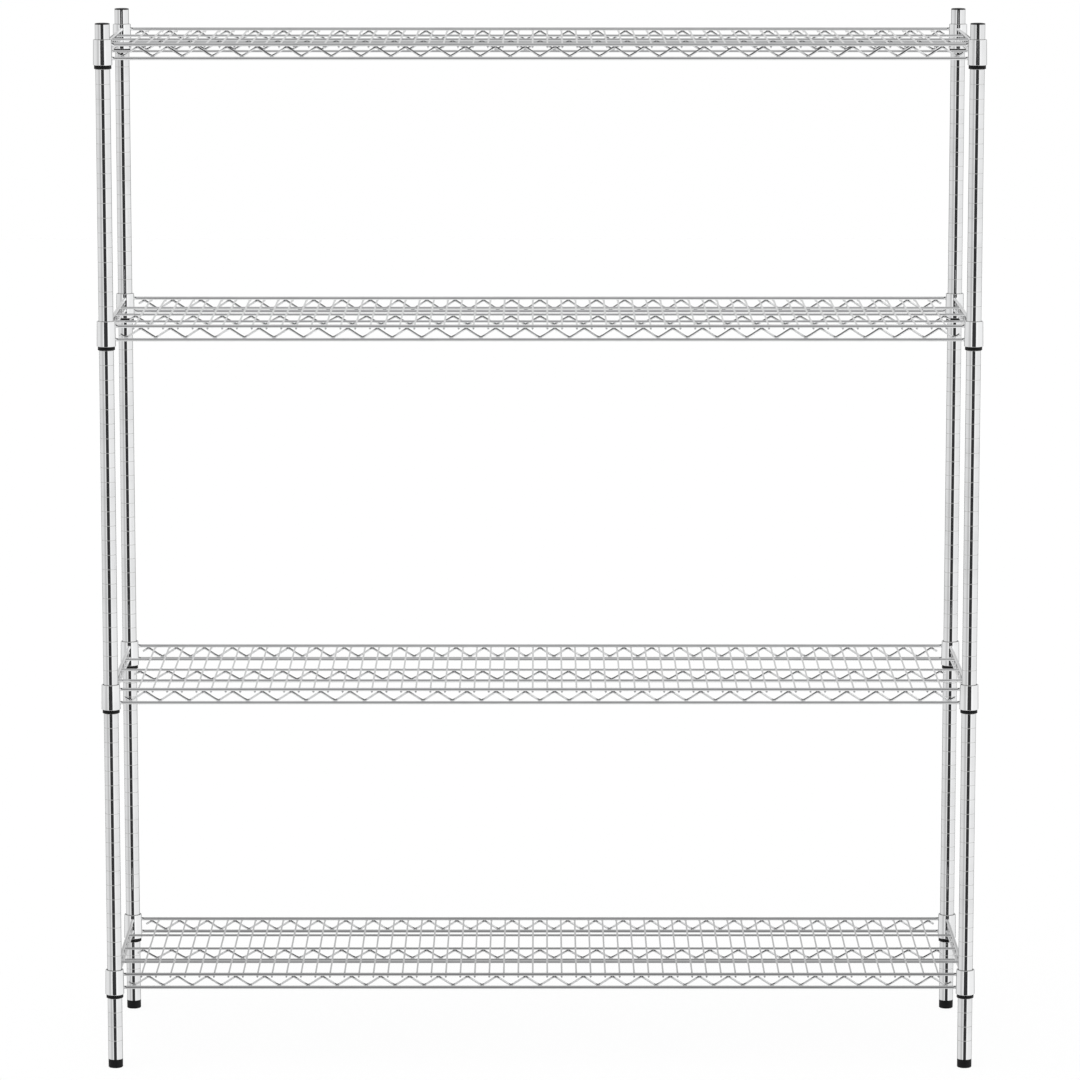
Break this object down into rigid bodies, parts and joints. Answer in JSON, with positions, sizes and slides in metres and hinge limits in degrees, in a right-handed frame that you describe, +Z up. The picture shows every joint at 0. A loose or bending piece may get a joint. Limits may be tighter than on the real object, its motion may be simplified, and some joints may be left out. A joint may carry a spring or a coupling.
{
  "type": "wire shelving rack",
  "caption": "Free-standing chrome wire storage rack with grooved round posts, welded wire shelves that adjust on tapered split sleeves, and levelling feet.",
  "frame": {"origin": "on the floor, at the middle of the rack's footprint", "axes": "+X along the shelves to the right, +Y to the back, +Z up; the front faces -Y"},
  "size_m": [1.524, 0.4568, 1.829],
  "materials": {
    "chrome": "bright plated wire and tube",
    "black_plastic": "fine moulded grain",
    "zinc_steel": "zinc plated"
  },
  "bodies": {
    "posts": {"post_front_left": "chrome", "post_front_right": "chrome", "post_back_left": "chrome", "post_back_right": "chrome", "post_caps": "black_plastic", "foot_inserts": "zinc_steel", "bottom_sleeves": "black_plastic", "lower_sleeves": "black_plastic", "upper_sleeves": "black_plastic", "top_sleeves": "black_plastic"},
    "bottom_shelf": {"bottom_collars": "chrome", "bottom_long_rims": "chrome", "bottom_end_rims": "chrome", "bottom_long_zigzags": "chrome", "bottom_end_zigzags": "chrome", "bottom_stringers": "chrome", "bottom_centre_wires": "chrome", "bottom_cross_wires": "chrome"},
    "lower_shelf": {"lower_collars": "chrome", "lower_long_rims": "chrome", "lower_end_rims": "chrome", "lower_long_zigzags": "chrome", "lower_end_zigzags": "chrome", "lower_stringers": "chrome", "lower_centre_wires": "chrome", "lower_cross_wires": "chrome"},
    "upper_shelf": {"upper_collars": "chrome", "upper_long_rims": "chrome", "upper_end_rims": "chrome", "upper_long_zigzags": "chrome", "upper_end_zigzags": "chrome", "upper_stringers": "chrome", "upper_centre_wires": "chrome", "upper_cross_wires": "chrome"},
    "top_shelf": {"top_collars": "chrome", "top_long_rims": "chrome", "top_end_rims": "chrome", "top_long_zigzags": "chrome", "top_end_zigzags": "chrome", "top_stringers": "chrome", "top_centre_wires": "chrome", "top_cross_wires": "chrome"},
    "front_left_foot": {"foot_front_left": "black_plastic", "stem_front_left": "zinc_steel"},
    "front_right_foot": {"foot_front_right": "black_plastic", "stem_front_right": "zinc_steel"},
    "back_left_foot": {"foot_back_left": "black_plastic", "stem_back_left": "zinc_steel"},
    "back_right_foot": {"foot_back_right": "black_plastic", "stem_back_right": "zinc_steel"}
  },
  "joints": [
    {"name": "bottom_shelf_lift", "type": "slide", "parent": "posts", "child": "bottom_shelf", "axis": [0, 0, 1], "range_m": [0, 0.45]},
    {"name": "lower_shelf_lift", "type": "slide", "parent": "posts", "child": "lower_shelf", "axis": [0, 0, 1], "range_m": [0, 0.58]},
    {"name": "upper_shelf_lift", "type": "slide", "parent": "posts", "child": "upper_shelf", "axis": [0, 0, 1], "range_m": [0, 0.425]},
    {"name": "top_shelf_lift", "type": "slide", "parent": "posts", "child": "top_shelf", "axis": [0, 0, 1], "range_m": [0, 0.11]},
    {"name": "front_left_foot_level", "type": "slide", "parent": "posts", "child": "front_left_foot", "axis": [0, 0, -1], "range_m": [0, 0.02]},
    {"name": "front_right_foot_level", "type": "slide", "parent": "posts", "child": "front_right_foot", "axis": [0, 0, -1], "range_m": [0, 0.02]},
    {"name": "back_left_foot_level", "type": "slide", "parent": "posts", "child": "back_left_foot", "axis": [0, 0, -1], "range_m": [0, 0.02]},
    {"name": "back_right_foot_level", "type": "slide", "parent": "posts", "child": "back_right_foot", "axis": [0, 0, -1], "range_m": [0, 0.02]}
  ]
}
